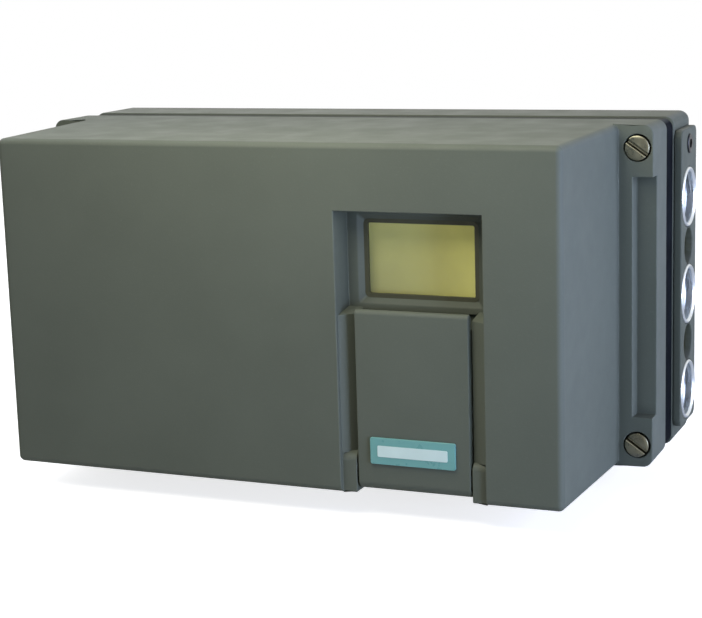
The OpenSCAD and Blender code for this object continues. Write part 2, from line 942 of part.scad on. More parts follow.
// Raised land that joins the ports, cut round the bushes and the restrictors
module port_land() {
  color("#4c5148")
    difference() {
      translate([half_w, -port_set, (land_top + land_bottom) / 2])
        rotate([90, 0, 90])
          linear_extrude(land_t)
            rounded(land_w, land_top - land_bottom, land_r);
      for (z = port_z)
        along_x(port_out_r + fit_gap, half_w - over, half_w + land_t + over, -port_set, z);
      for (z = restrict_z)
        along_x(restrictor_r + restrict_clear, half_w - over, half_w + land_t + over, -port_set, z);
    }
}

module valve_unit() {
  color("#2c2f33")
    difference() {
      block([valve_x, manifold_x], [y_floor - valve_d, y_floor], [-valve_h / 2, valve_h / 2]);
      for (i = [0:cap_count - 2])
        block([valve_x - over, manifold_x - valve_rib],
              [y_floor - valve_d - over, y_floor - valve_d + valve_cut],
              [(i - 1) * cap_pitch - valve_cut_half, (i - 1) * cap_pitch + valve_cut_half]);
    }
}

module valve_caps() {
  color("#d9d4c2")
    for (i = [0:cap_count - 1])
      along_y(cap_r, y_floor - valve_d - cap_t, y_floor - valve_d,
              valve_x + valve_w / 2, (i - (cap_count - 1) / 2) * cap_pitch);
}

module restrictor(z) {
  color("#b08d3f")
    difference() {
      union() {
        along_x(restrictor_r, x_restrict - restrict_len, x_restrict, -port_set, z);
        along_x(restrictor_r / 2, x_restrict - restrict_len - restrict_tip, x_restrict - restrict_len + eps,
                -port_set, z);
      }
      translate([x_restrict, -port_set, z])
        cube([2 * restrict_slot_d, restrict_slot, 3 * restrictor_r], center = true);
    }
}

module restrictor_upper() { restrictor(restrict_z[0]); }
module restrictor_lower() { restrictor(restrict_z[1]); }

module silencer() {
  color("#8a6f3d")
    along_z(silencer_r, z_silencer, z_silencer + silencer_len, silencer_x, -port_set);
}

// Feedback shaft and gears

module shaft_bush() {
  color("#b9a25a")
    difference() {
      along_y(bush_r, y_bush, -dish_d);
      along_y(journal_r + run_gap, y_bush - over, 0);
      along_y(journal_r + 2 * oring_r + run_gap, y_oring - oring_r - run_gap, y_oring + oring_r + run_gap);
    }
}

module shaft_seal() {
  color("#17181a")
    translate([0, y_oring, 0])
      rotate([90, 0, 0])
        rotate_extrude()
          translate([journal_r + run_gap + oring_r, 0])
            circle(oring_r - oring_squeeze);
}

module feedback_shaft() {
  color("#c0c4ca")
    translate([0, shaft_end, 0])
      rotate([-90, 0, 0])
        rotate_extrude()
          polygon([
            [0, 0],
            [journal_r - shaft_chamfer, 0],
            [journal_r, shaft_chamfer],
            [journal_r, y_gear - shaft_end],
            [collar_r, y_gear - shaft_end],
            [collar_r, y_gear + collar_t - shaft_end],
            [journal_r, y_gear + collar_t - shaft_end],
            [journal_r, -dish_d + fit_gap - shaft_end],
            [journal_r - clip_groove, -dish_d + fit_gap - shaft_end],
            [journal_r - clip_groove, -dish_d + fit_gap + clip_t - shaft_end],
            [journal_r, -dish_d + fit_gap + clip_t - shaft_end],
            [journal_r, -shaft_step - shaft_end],
            [shaft_r, -shaft_step - shaft_end],
            [shaft_r, shaft_out - shaft_chamfer - shaft_end],
            [shaft_r - shaft_chamfer, shaft_out - shaft_end],
            [0, shaft_out - shaft_end]
          ]);
}

module shaft_clip() {
  color("#3a3c40")
    difference() {
      along_y(clip_r, -dish_d + fit_gap, -dish_d + fit_gap + clip_t);
      along_y(journal_r - clip_groove + run_gap, -dish_d, 1);
      translate([0, -dish_d, clip_r])
        cube([clip_gap, 4 * clip_t, 2 * clip_r], center = true);
    }
}

module drive_gear() {
  color("#d8d3c4")
    difference() {
      gear_y(drive_teeth, y_gear - gear_t, y_gear);
      along_y(journal_r + run_gap, y_gear - gear_t - over, y_gear + over);
      for (i = [0:gear_holes - 1])
        rotate([0, (i + 0.5) * 360 / gear_holes, 0])
          along_y(gear_hole_r, y_gear - gear_t - over, y_gear + over, gear_hole_x);
    }
}

module clutch_washer() {
  y1 = y_gear - gear_t;
  color("#b8bcc2")
    translate([0, y1 - washer_t, 0])
      rotate([-90, 0, 0])
        rotate_extrude()
          polygon([
            [journal_r + run_gap, 0],
            [journal_r + washer_flat, 0],
            [washer_r, washer_t - washer_plate],
            [washer_r, washer_t],
            [washer_r - washer_plate, washer_t],
            [journal_r + run_gap, washer_plate]
          ]);
}

module clutch_wheel() {
  color("#d0a92e")
    difference() {
      along_y(wheel_r, y_wheel - wheel_t, y_wheel);
      along_y(journal_r + run_gap, y_wheel - wheel_t - over, y_wheel + over);
      for (i = [0:wheel_notches - 1])
        rotate([0, i * 360 / wheel_notches, 0])
          along_y(notch_r, y_wheel - wheel_t - over, y_wheel + over, wheel_r);
    }
}

module pot_bracket() {
  color("#aab0b4")
    difference() {
      block(bracket_x, [y_bracket - bracket_t, y_bracket], [-bracket_z, bracket_z]);
      along_y(pot_nose_r + fit_gap, y_bracket - bracket_t - over, y_bracket + over, -gear_centre);
      for (z = [-1, 1])
        along_y(small_screw_r + fit_gap, y_bracket - bracket_t - over, y_bracket + over,
                bracket_post[0], z * bracket_post[1]);
    }
}

module bracket_screws() {
  color("#c9ccd2")
    for (z = [-1, 1])
      screw_y(bracket_post[0], z * bracket_post[1], y_bracket - bracket_t, small_grip,
              small_screw_r, small_head_r, small_head_h);
}

module potentiometer() {
  y0 = y_bracket - bracket_t;
  color("#24272c")
    difference() {
      union() {
        along_y(pot_r, y0 - pot_t, y0, -gear_centre);
        along_y(pot_nose_r, y0 - eps, y0 + pot_nose, -gear_centre);
      }
      along_y(pot_shaft_r + run_gap, y0 - pot_t + pot_back, y0 + pot_nose + over, -gear_centre);
    }
}

module pot_shaft() {
  color("#c0c4ca")
    along_y(pot_shaft_r, y_bracket - bracket_t - pot_t + pot_back + fit_gap, y_gear + pinion_over,
            -gear_centre);
}

module pot_pinion() {
  color("#d8d3c4")
    translate([-gear_centre, 0, 0])
      difference() {
        gear_y(pinion_teeth, y_gear - gear_t - pinion_over, y_gear + pinion_over, 180 / pinion_teeth);
        along_y(pot_shaft_r + run_gap, y_gear - gear_t - pinion_over - over, y_gear + pinion_over + over);
      }
}

// Cable side

module gland_body() {
  x0 = -half_w - washer_face_t;
  color("#3b3e42")
    difference() {
      union() {
        along_x(entry_r, x0 - eps, -half_w + entry_grip, -entry_set, entry_z);
        hex_along_x(hex_af, x0 - gland_hex_t, x0, -entry_set, entry_z);
        along_x(gland_neck_r, -half_w - gland_out + nut_lip + gland_seal_len, x0 - gland_hex_t + eps,
                -entry_set, entry_z);
      }
      along_x(gland_bore_r, -half_w - gland_out - over, -half_w + entry_grip + over, -entry_set, entry_z);
    }
}

module gland_seal() {
  x0 = -half_w - gland_out + nut_lip;
  color("#17181a")
    difference() {
      along_x(gland_seal_r, x0, x0 + gland_seal_len, -entry_set, entry_z);
      along_x(cable_r, x0 - over, x0 + gland_seal_len + over, -entry_set, entry_z);
    }
}

module gland_nut() {
  x0 = -half_w - gland_out;
  x1 = -half_w - washer_face_t - gland_hex_t - nut_gap;
  color("#3b3e42")
    difference() {
      union() {
        hex_along_x(hex_af, x0 + nut_face, x1, -entry_set, entry_z);
        along_x(gland_neck_r + nut_wall, x0, x0 + nut_face + eps, -entry_set, entry_z);
      }
      along_x(gland_neck_r + run_gap, x0 + nut_lip, x1 + over, -entry_set, entry_z);
      along_x(gland_bore_r, x0 - over, x1, -entry_set, entry_z);
    }
}

module blanking_plug() {
  x0 = -half_w - washer_face_t;
  color("#3b3e42")
    difference() {
      union() {
        along_x(entry_r, x0 - eps, -half_w + entry_grip, -entry_set, -entry_z);
        hex_along_x(hex_af, x0 - plug_head_t, x0, -entry_set, -entry_z);
      }
      along_x(entry_r - plug_wall, x0 + plug_face, -half_w + entry_grip + over, -entry_set, -entry_z);
    }
}

module entry_seals() {
  color("#17181a")
    for (z = [-entry_z, entry_z])
      difference() {
        along_x(washer_face_r, -half_w - washer_face_t, -half_w, -entry_set, z);
        along_x(entry_r + fit_gap, -half_w - washer_face_t - over, -half_w + over, -entry_set, z);
      }
}

base_housing();
cover();
cover_seal();
cover_screws();
window_pane();
display_glass();
display_frame();
display_board();
display_spacers();
display_screws();
key_switches();
key_mode();
key_down();
key_up();
key_flap();
flap_plate();
flap_pin();
main_board();
board_screws();
board_parts();
terminal_block();
terminal_screws();
air_manifold();
manifold_screws();
port_bushes();
port_land();
valve_unit();
valve_caps();
restrictor_upper();
restrictor_lower();
silencer();
shaft_bush();
shaft_seal();
feedback_shaft();
shaft_clip();
drive_gear();
clutch_washer();
clutch_wheel();
pot_bracket();
bracket_screws();
potentiometer();
pot_shaft();
pot_pinion();
gland_body();
gland_seal();
gland_nut();
blanking_plug();
entry_seals();
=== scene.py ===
import json
import math

import bmesh
import bpy
from mathutils import Matrix, Vector


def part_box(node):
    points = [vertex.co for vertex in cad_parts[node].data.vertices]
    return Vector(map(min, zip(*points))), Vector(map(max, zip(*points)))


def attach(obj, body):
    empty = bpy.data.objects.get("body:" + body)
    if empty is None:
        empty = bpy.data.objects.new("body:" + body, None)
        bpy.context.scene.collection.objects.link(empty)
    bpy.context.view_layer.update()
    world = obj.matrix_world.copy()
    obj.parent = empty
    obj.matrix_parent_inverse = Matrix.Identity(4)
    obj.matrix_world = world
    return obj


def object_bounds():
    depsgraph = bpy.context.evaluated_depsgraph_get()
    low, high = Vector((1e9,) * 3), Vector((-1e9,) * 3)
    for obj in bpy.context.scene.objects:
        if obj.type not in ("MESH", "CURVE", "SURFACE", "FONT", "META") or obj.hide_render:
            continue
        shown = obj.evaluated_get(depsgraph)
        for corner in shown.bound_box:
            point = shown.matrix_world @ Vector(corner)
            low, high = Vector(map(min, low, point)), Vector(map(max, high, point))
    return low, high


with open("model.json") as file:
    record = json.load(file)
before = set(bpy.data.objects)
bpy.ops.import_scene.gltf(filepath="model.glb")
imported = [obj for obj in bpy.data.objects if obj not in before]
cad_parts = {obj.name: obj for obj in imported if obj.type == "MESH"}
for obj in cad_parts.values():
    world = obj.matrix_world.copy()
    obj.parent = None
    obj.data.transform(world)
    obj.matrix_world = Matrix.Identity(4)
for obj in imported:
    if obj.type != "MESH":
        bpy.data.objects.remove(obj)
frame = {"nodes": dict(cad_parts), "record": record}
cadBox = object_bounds()
nodes = frame["nodes"]
mm = 0.001


# Camera, set where the photograph was taken from
viewPoint = {
    "place": (0.1797, -0.4522, 0.0824),
    "yaw": 23.20,      # to the left of straight ahead
    "pitch": 11.20,    # downwards
    "roll": -1.75,
    "lens": 90.5,
    "sensor": 36.0,
    "nearest": 0.01,   # drawn from this distance on
}


def placeCamera(spec):
    yaw, pitch, roll = (math.radians(spec[key]) for key in ("yaw", "pitch", "roll"))
    ahead = Vector((-math.sin(yaw) * math.cos(pitch), math.cos(yaw) * math.cos(pitch), -math.sin(pitch)))
    level = Vector((math.cos(yaw), math.sin(yaw), 0))
    upright = level.cross(ahead)
    across = math.cos(roll) * level + math.sin(roll) * upright
    upward = -math.sin(roll) * level + math.cos(roll) * upright
    turn = Matrix((across, upward, -ahead)).transposed().to_4x4()
    data = bpy.data.cameras.new("viewCamera")
    data.lens = spec["lens"]
    data.sensor_width = spec["sensor"]
    data.clip_start = spec["nearest"]
    camera = bpy.data.objects.new("viewCamera", data)
    camera.matrix_world = Matrix.Translation(spec["place"]) @ turn
    bpy.context.scene.collection.objects.link(camera)
    bpy.context.scene.camera = camera


placeCamera(viewPoint)
print("camera placed")


# Shader helpers
def startMaterial(name):
    material = bpy.data.materials.new(name)
    material.use_nodes = True
    return material, material.node_tree, material.node_tree.nodes["Principled BSDF"]


def setInputs(tree, node, inputs):  # each a plain value or a socket to link
    for key, value in inputs.items():
        if isinstance(value, bpy.types.NodeSocket):
            tree.links.new(value, node.inputs[key])
        else:
            node.inputs[key].default_value = value


def addNode(tree, kind, inputs=None, **settings):
    node = tree.nodes.new(kind)
    for key, value in settings.items():
        setattr(node, key, value)
    setInputs(tree, node, inputs or {})
    return node


def calc(tree, operation, first, second):
    return addNode(tree, "ShaderNodeMath", {0: first, 1: second}, operation=operation).outputs["Value"]


def remap(tree, value, low, high, outLow=0.0, outHigh=1.0):
    made = addNode(tree, "ShaderNodeMapRange", {"Value": value, "From Min": low, "From Max": high,
                                                "To Min": outLow, "To Max": outHigh})
    return made.outputs["Result"]


def mixTones(tree, share, first, second):  # inputs 6 and 7 and output 2 are the colour ones
    made = addNode(tree, "ShaderNodeMix", {0: share, 6: first, 7: second}, data_type="RGBA")
    return made.outputs[2]


def shade(tone, amount):
    return (tone[0] * amount, tone[1] * amount, tone[2] * amount, 1.0)


def objectPlace(tree):
    return addNode(tree, "ShaderNodeTexCoord").outputs["Object"]


def noise(tree, place, layer, stretch=None):  # the layer's size is that of one patch
    if stretch:
        place = addNode(tree, "ShaderNodeMapping", {"Vector": place, "Scale": stretch}).outputs["Vector"]
    made = addNode(tree, "ShaderNodeTexNoise", {"Vector": place, "Scale": 1 / layer["size"],
                                                "Detail": layer["detail"]})
    return made.outputs["Fac"]


def patches(tree, place, layer, outLow=0.0, outHigh=1.0):  # noise stretched between the layer's limits
    return remap(tree, noise(tree, place, layer), *layer["limits"], outLow, outHigh)


def grainBump(tree, height, depth, strength):
    bump = addNode(tree, "ShaderNodeBump", {"Height": height, "Distance": depth, "Strength": strength})
    return bump.outputs["Normal"]


edgeBend = {"flat": 0.99, "full": 0.82, "samples": 4}  # cosine of the bend on a face and on an edge


def edgeMask(tree, width):  # 1 along the edges, 0 on flat faces
    soft = addNode(tree, "ShaderNodeBevel", {"Radius": width}, samples=edgeBend["samples"])
    face = addNode(tree, "ShaderNodeNewGeometry")
    bend = addNode(tree, "ShaderNodeVectorMath", {0: soft.outputs["Normal"], 1: face.outputs["Normal"]},
                   operation="DOT_PRODUCT")
    return remap(tree, bend.outputs["Value"], edgeBend["flat"], edgeBend["full"])


def paintedShadeMask(tree, layer, most):  # painted shade: most in grooves narrower than the layer's reach, 0 on open faces
    hollow = addNode(tree, "ShaderNodeAmbientOcclusion", {"Distance": layer["reach"]},
                     samples=layer["samples"], only_local=layer["ownOnly"])
    return remap(tree, hollow.outputs["AO"], *layer["limits"], most, 0.0)


dustAndTopLightLook = {"tone": (0.25, 0.26, 0.23), "limits": (0.6, 0.95)}  # dust and painted top light; limits of how far a face looks up


def dustAndTopLightTone(tree, tone, most):  # dust and painted top light: what faces up turns paler
    facing = addNode(tree, "ShaderNodeNewGeometry").outputs["Normal"]
    upward = addNode(tree, "ShaderNodeSeparateXYZ", {"Vector": facing}).outputs["Z"]
    share = remap(tree, upward, *dustAndTopLightLook["limits"], 0.0, most)
    return mixTones(tree, share, tone, shade(dustAndTopLightLook["tone"], 1.0))


# Moulded plastics: cloudy tone, spark-eroded grain, painted shade in the grooves, paler rubbed edges
# each plastic's share of painted shade in its grooves is set in its look
plasticLooks = {
    "cover_plastic": {"tone": (0.098, 0.110, 0.090), "cloud": 0.04, "rough": (0.50, 0.64),
                      "grain": 0.45 * mm, "depth": 0.035 * mm, "wear": 0.35, "wearWidth": 0.5 * mm,
                      "paintedShade": 0.38, "dustAndTopLight": 0.0},
    "base_plastic": {"tone": (0.080, 0.090, 0.071), "cloud": 0.06, "rough": (0.50, 0.66),
                     "grain": 0.45 * mm, "depth": 0.04 * mm, "wear": 0.30, "wearWidth": 0.5 * mm,
                     "paintedShade": 0.85, "dustAndTopLight": 0.3},
    "dark_plastic": {"tone": (0.020, 0.021, 0.023), "cloud": 0.15, "rough": (0.42, 0.60),
                     "grain": 0.30 * mm, "depth": 0.02 * mm, "wear": 0.4, "wearWidth": 0.3 * mm,
                     "paintedShade": 0.30, "dustAndTopLight": 0.0},
    "key_plastic": {"tone": (0.045, 0.050, 0.047), "cloud": 0.10, "rough": (0.38, 0.52),
                    "grain": 0.25 * mm, "depth": 0.02 * mm, "wear": 0.5, "wearWidth": 0.3 * mm,
                    "paintedShade": 0.30, "dustAndTopLight": 0.0},
    "gland_plastic": {"tone": (0.035, 0.037, 0.041), "cloud": 0.12, "rough": (0.40, 0.58),
                      "grain": 0.35 * mm, "depth": 0.03 * mm, "wear": 0.5, "wearWidth": 0.4 * mm,
                      "paintedShade": 0.40, "dustAndTopLight": 0.0},
    "terminal_green": {"tone": (0.050, 0.150, 0.080), "cloud": 0.08, "rough": (0.40, 0.55),
                       "grain": 0.30 * mm, "depth": 0.02 * mm, "wear": 0.3, "wearWidth": 0.3 * mm,
                       "paintedShade": 0.30, "dustAndTopLight": 0.0},
    "cap_plastic": {"tone": (0.680, 0.640, 0.540), "cloud": 0.05, "rough": (0.30, 0.42),
                    "grain": 0.40 * mm, "depth": 0.01 * mm, "wear": 0.1, "wearWidth": 0.3 * mm,
                    "paintedShade": 0.20, "dustAndTopLight": 0.0},
    "wheel_plastic": {"tone": (0.620, 0.400, 0.030), "cloud": 0.06, "rough": (0.35, 0.48),
                      "grain": 0.40 * mm, "depth": 0.01 * mm, "wear": 0.2, "wearWidth": 0.3 * mm,
                      "paintedShade": 0.20, "dustAndTopLight": 0.0},
}
plasticLayers = {
    "clouds": {"size": 28 * mm, "detail": 4.0, "limits": (0.35, 0.65)},
    "specks": {"size": 0.6 * mm, "detail": 2.0, "limits": (0.60, 0.75), "most": 0.35, "shade": 1.25},
    # painted shade: ambient occlusion darkens grooves and hollows, where shade falls
    "paintedShade": {"reach": 3 * mm, "limits": (0.4, 0.95), "samples": 6, "ownOnly": True, "shade": 0.2},
    "rubbed": {"size": 4 * mm, "detail": 3.0, "limits": (0.40, 0.62), "shade": 1.9},
    "sheen": {"size": 9 * mm, "detail": 4.0, "limits": (0.3, 0.7)},
    "grain": {"detail": 2.0, "strength": 0.55},
    "specular": 0.18,
}


def mouldedPlastic(name, look, layers):
    material, tree, shader = startMaterial(name)
    place = objectPlace(tree)
    tone = look["tone"]
    specks = layers["specks"]
    paintedShade = layers["paintedShade"]
    rubbed = layers["rubbed"]
    clouds = patches(tree, place, layers["clouds"])
    body = mixTones(tree, clouds, shade(tone, 1 - look["cloud"]), shade(tone, 1 + look["cloud"]))
    dots = patches(tree, place, specks, 0.0, specks["most"])
    body = mixTones(tree, dots, body, shade(tone, specks["shade"]))
    # painted shade darkens the tone in grooves and hollows
    body = mixTones(tree, paintedShadeMask(tree, paintedShade, look["paintedShade"]), body, shade(tone, paintedShade["shade"]))
    handled = patches(tree, place, rubbed, 0.0, look["wear"])
    worn = calc(tree, "MULTIPLY", edgeMask(tree, look["wearWidth"]), handled)
    body = mixTones(tree, worn, body, shade(tone, rubbed["shade"]))
    grain = noise(tree, place, {"size": look["grain"], "detail": layers["grain"]["detail"]})
    # the base colour turns paler on upward faces: dust and painted top light
    setInputs(tree, shader, {
        "Base Color": dustAndTopLightTone(tree, body, look["dustAndTopLight"]),
        "Roughness": patches(tree, place, layers["sheen"], *look["rough"]),
        "Specular IOR Level": layers["specular"],
        "Normal": grainBump(tree, grain, look["depth"], layers["grain"]["strength"]),
    })
    return material


# Metals: turned, plated or ground, with painted shade in thread roots and hollows
metalLooks = {
    "screw_steel": {"tone": (0.60, 0.60, 0.58), "rough": (0.20, 0.38), "streak": (1, 1, 1),
                    "depth": 0.008 * mm, "stain": 0.84, "paintedShade": 0.4},
    "dark_steel": {"tone": (0.036, 0.038, 0.042), "rough": (0.34, 0.50), "streak": (6, 1, 1),
                   "depth": 0.008 * mm, "stain": 0.80, "paintedShade": 0.7},
    "port_metal": {"tone": (0.70, 0.74, 0.76), "rough": (0.26, 0.36), "streak": (9, 1, 1),
                   "depth": 0.006 * mm, "stain": 0.94, "paintedShade": 0.0},
    "thread_metal": {"tone": (0.48, 0.51, 0.53), "rough": (0.28, 0.40), "streak": (9, 1, 1),
                     "depth": 0.006 * mm, "stain": 0.80, "paintedShade": 0.7},
    "passivated_steel": {"tone": (0.26, 0.25, 0.18), "rough": (0.22, 0.40), "streak": (1, 1, 1),
                         "depth": 0.010 * mm, "stain": 0.55, "paintedShade": 0.5},
    "manifold_metal": {"tone": (0.42, 0.44, 0.44), "rough": (0.35, 0.50), "streak": (1, 1, 8),
                       "depth": 0.020 * mm, "stain": 0.84, "paintedShade": 0.4},
    "shaft_steel": {"tone": (0.56, 0.57, 0.58), "rough": (0.16, 0.30), "streak": (1, 9, 1),
                    "depth": 0.008 * mm, "stain": 0.90, "paintedShade": 0.3},
    "brass": {"tone": (0.55, 0.42, 0.16), "rough": (0.24, 0.42), "streak": (9, 1, 1),
              "depth": 0.010 * mm, "stain": 0.84, "paintedShade": 0.5},
}
metalLayers = {
    "cuts": {"size": 1.6 * mm, "detail": 4.0, "limits": (0.3, 0.7), "strength": 0.5},
    "stain": {"size": 5 * mm, "detail": 4.0, "limits": (0.35, 0.7), "clean": 1.04},
    # painted shade: ambient occlusion from all nearby pieces darkens thread roots and hollows
    "paintedShade": {"reach": 1.2 * mm, "limits": (0.4, 0.95), "samples": 6, "ownOnly": False, "shade": 0.15},
}


def machinedMetal(name, look, layers):
    material, tree, shader = startMaterial(name)
    place = objectPlace(tree)
    tone = look["tone"]
    paintedShade = layers["paintedShade"]
    stain = patches(tree, place, layers["stain"])
    body = mixTones(tree, stain, shade(tone, layers["stain"]["clean"]), shade(tone, look["stain"]))
    # painted shade darkens the tone in thread roots and hollows
    body = mixTones(tree, paintedShadeMask(tree, paintedShade, look["paintedShade"]), body, shade(tone, paintedShade["shade"]))
    cuts = noise(tree, place, layers["cuts"], look["streak"])
    setInputs(tree, shader, {
        "Base Color": body,
        "Roughness": remap(tree, cuts, *layers["cuts"]["limits"], *look["rough"]),
        "Metallic": 1.0,
        "Normal": grainBump(tree, cuts, look["depth"], layers["cuts"]["strength"]),
    })
    return material


rubberLook = {
    "tone": (0.006, 0.007, 0.009),
    "dustAndTopLight": 0.3,
    "rough": (0.62, 0.82),
    "specular": 0.02,
    "wear": {"size": 6 * mm, "detail": 4.0, "limits": (0.45, 0.75), "shades": (0.8, 1.5)},
    "sheen": {"size": 3 * mm, "detail": 3.0, "limits": (0.3, 0.7)},
    "grain": {"size": 0.5 * mm, "detail": 3.0, "depth": 0.05 * mm, "strength": 0.6},
}


def sealRubber(look):
    material, tree, shader = startMaterial("black_rubber")
    place = objectPlace(tree)
    grain = look["grain"]
    fresh, chalky = (shade(look["tone"], amount) for amount in look["wear"]["shades"])
    tone = mixTones(tree, patches(tree, place, look["wear"]), fresh, chalky)
    setInputs(tree, shader, {
        # the base colour turns paler on upward faces: dust and painted top light
        "Base Color": dustAndTopLightTone(tree, tone, look["dustAndTopLight"]),
        "Roughness": patches(tree, place, look["sheen"], *look["rough"]),
        "Specular IOR Level": look["specular"],
        "Normal": grainBump(tree, noise(tree, place, grain), grain["depth"], grain["strength"]),
    })
    return material


paneLook = {
    "tone": (0.72, 0.73, 0.66),
    "rough": (0.04, 0.10),
    "index": 1.49,
    "veil": 0.08,   # how much of the pane itself shows
    "smear": {"size": 7 * mm, "detail": 4.0, "limits": (0.4, 0.7)},
}


def clearPane(look):
    material, tree, shader = startMaterial("clear_pane")
    smear = patches(tree, objectPlace(tree), look["smear"], *look["rough"])
    setInputs(tree, shader, {
        "Base Color": shade(look["tone"], 1.0),
        "Roughness": smear,
        "IOR": look["index"],
        "Alpha": look["veil"],
    })
    return material


# Display: painted light and shade across its face, and a painted glow
displayLook = {
    "tone": (0.59, 0.566, 0.143),
    "sides": (0.64, 1.45),   # painted shade and light: brightness at the left and right edge
    "ends": (0.96, 1.70),    # painted light and shade: brightness at the lower and upper edge
    "bend": 2.0,             # it grows with this power
    "most": 1.6,
    # painted glow: the display gives off light though it is no lamp
    "paintedGlow": 0.11,
    "haze": {"size": 5 * mm, "detail": 3.0, "limits": (0.35, 0.65), "shades": (0.97, 1.03)},
    "rough": 0.35,
}


def displayOlive(look):
    material, tree, shader = startMaterial("display_olive")
    low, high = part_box("display_glass")
    place = objectPlace(tree)
    along = addNode(tree, "ShaderNodeSeparateXYZ", {"Vector": place}).outputs
    dull, clear = (shade(look["tone"], amount) for amount in look["haze"]["shades"])
    tone = mixTones(tree, patches(tree, place, look["haze"]), dull, clear)
    # painted light and shade: the tone grows from the left and lower edges to the right and upper ones
    levels = []
    for axis, first, last, ends in (("X", low.x, high.x, "sides"), ("Z", low.z, high.z, "ends")):
        bent = calc(tree, "POWER", remap(tree, along[axis], first, last), look["bend"])
        levels.append(remap(tree, bent, 0.0, 1.0, *look[ends]))
    paintedLevel = calc(tree, "MINIMUM", calc(tree, "MULTIPLY", *levels), look["most"])
    lit = addNode(tree, "ShaderNodeVectorMath", {0: tone, "Scale": paintedLevel}, operation="SCALE")
    setInputs(tree, shader, {
        "Base Color": lit.outputs["Vector"],
        # painted glow of the display's own painted tone
        "Emission Color": lit.outputs["Vector"],
        "Emission Strength": look["paintedGlow"],
        "Roughness": look["rough"],
    })
    return material


boardLook = {
    "tone": (0.03, 0.11, 0.05),
    "track": (0.06, 0.19, 0.08),
    "trackPitch": 2.2 * mm,
    "trackEdge": (0.08, 0.12),   # share of the pitch
    "depth": 0.03 * mm,
    "strength": 0.4,
    "rough": 0.3,
}


def boardGreen(look):
    material, tree, shader = startMaterial("board_green")
    tracks = addNode(tree, "ShaderNodeTexVoronoi",
                     {"Vector": objectPlace(tree), "Scale": 1 / look["trackPitch"]},
                     feature="DISTANCE_TO_EDGE")
    line = remap(tree, tracks.outputs["Distance"], *look["trackEdge"])
    setInputs(tree, shader, {
        "Base Color": mixTones(tree, line, shade(look["track"], 1.0), shade(look["tone"], 1.0)),
        "Roughness": look["rough"],
        "Normal": grainBump(tree, line, look["depth"], look["strength"]),
    })
    return material


# Plain coloured surfaces: plate, its pale field, marks on the keys, and the lip of the window, a painted
# shadow
printLooks = {
    "plate_teal": {"tone": (0.13, 0.33, 0.32), "rough": (0.25, 0.4), "fade": 0.04},
    "pale_field": {"tone": (0.57, 0.71, 0.70), "rough": (0.3, 0.45), "fade": 0.03},
    "key_mark": {"tone": (0.62, 0.64, 0.60), "rough": (0.4, 0.55), "fade": 0.05},
    # painted shadow: the dark lip stands for the shade inside the window's rim
    "painted_shadow_lip": {"tone": (0.045, 0.046, 0.024), "rough": (0.5, 0.65), "fade": 0.10},
}
printLayers = {
    "fade": {"size": 6 * mm, "detail": 4.0, "limits": (0.35, 0.7)},
    "sheen": {"size": 2 * mm, "detail": 3.0, "limits": (0.3, 0.7)},
    "grain": {"size": 0.4 * mm, "detail": 3.0, "depth": 0.008 * mm, "strength": 0.4},
}


def printedPlate(name, look, layers):
    material, tree, shader = startMaterial(name)
    place = objectPlace(tree)
    tone = look["tone"]
    grain = layers["grain"]
    fade = patches(tree, place, layers["fade"])
    setInputs(tree, shader, {
        "Base Color": mixTones(tree, fade, shade(tone, 1 - look["fade"]), shade(tone, 1 + look["fade"])),
        "Roughness": patches(tree, place, layers["sheen"], *look["rough"]),
        "Normal": grainBump(tree, noise(tree, place, grain), grain["depth"], grain["strength"]),
    })
    return material


finishes = {name: mouldedPlastic(name, look, plasticLayers) for name, look in plasticLooks.items()}
finishes.update({name: machinedMetal(name, look, metalLayers) for name, look in metalLooks.items()})
finishes.update({name: printedPlate(name, look, printLayers) for name, look in printLooks.items()})
finishes["black_rubber"] = sealRubber(rubberLook)
finishes["clear_pane"] = clearPane(paneLook)
finishes["display_olive"] = displayOlive(displayLook)
finishes["board_green"] = boardGreen(boardLook)
for part in frame["record"]["subparts"]:
    slots = nodes[part["node"]].data.materials
    slots.clear()
    slots.append(finishes[part["material_slot"]])
print("finishes laid on:", len(finishes))


# Broken edges on the pieces that show
edgeSpec = {"weld": 0.002 * mm, "segments": 2, "bend": 32}  # broken where they bend by more degrees
edgeWidths = {
    "cover": 0.25 * mm, "base_housing": 0.4 * mm, "cover_screws": 0.2 * mm,
    "key_flap": 0.3 * mm, "flap_plate": 0.12 * mm,
    "key_mode": 0.3 * mm, "key_down": 0.3 * mm, "key_up": 0.3 * mm,
    "port_land": 0.3 * mm, "port_bushes": 0.15 * mm,
    "restrictor_upper": 0.12 * mm, "restrictor_lower": 0.12 * mm,
    "gland_body": 0.4 * mm, "gland_nut": 0.4 * mm, "blanking_plug": 0.4 * mm,
    "feedback_shaft": 0.15 * mm, "shaft_clip": 0.12 * mm, "silencer": 0.25 * mm,
}


def breakEdges(piece, width, spec):
    weld = piece.modifiers.new("weld", "WELD")
    weld.merge_threshold = spec["weld"]
    bevel = piece.modifiers.new("edge", "BEVEL")
    bevel.width = width
    bevel.segments = spec["segments"]
    bevel.limit_method = "ANGLE"
    bevel.angle_limit = math.radians(spec["bend"])
    bevel.use_clamp_overlap = False
    bevel.loop_slide = False
    normals = piece.modifiers.new("normals", "WEIGHTED_NORMAL")
    normals.keep_sharp = False


for name, width in edgeWidths.items():
    breakEdges(nodes[name], width, edgeSpec)
print("edges broken on:", len(edgeWidths))


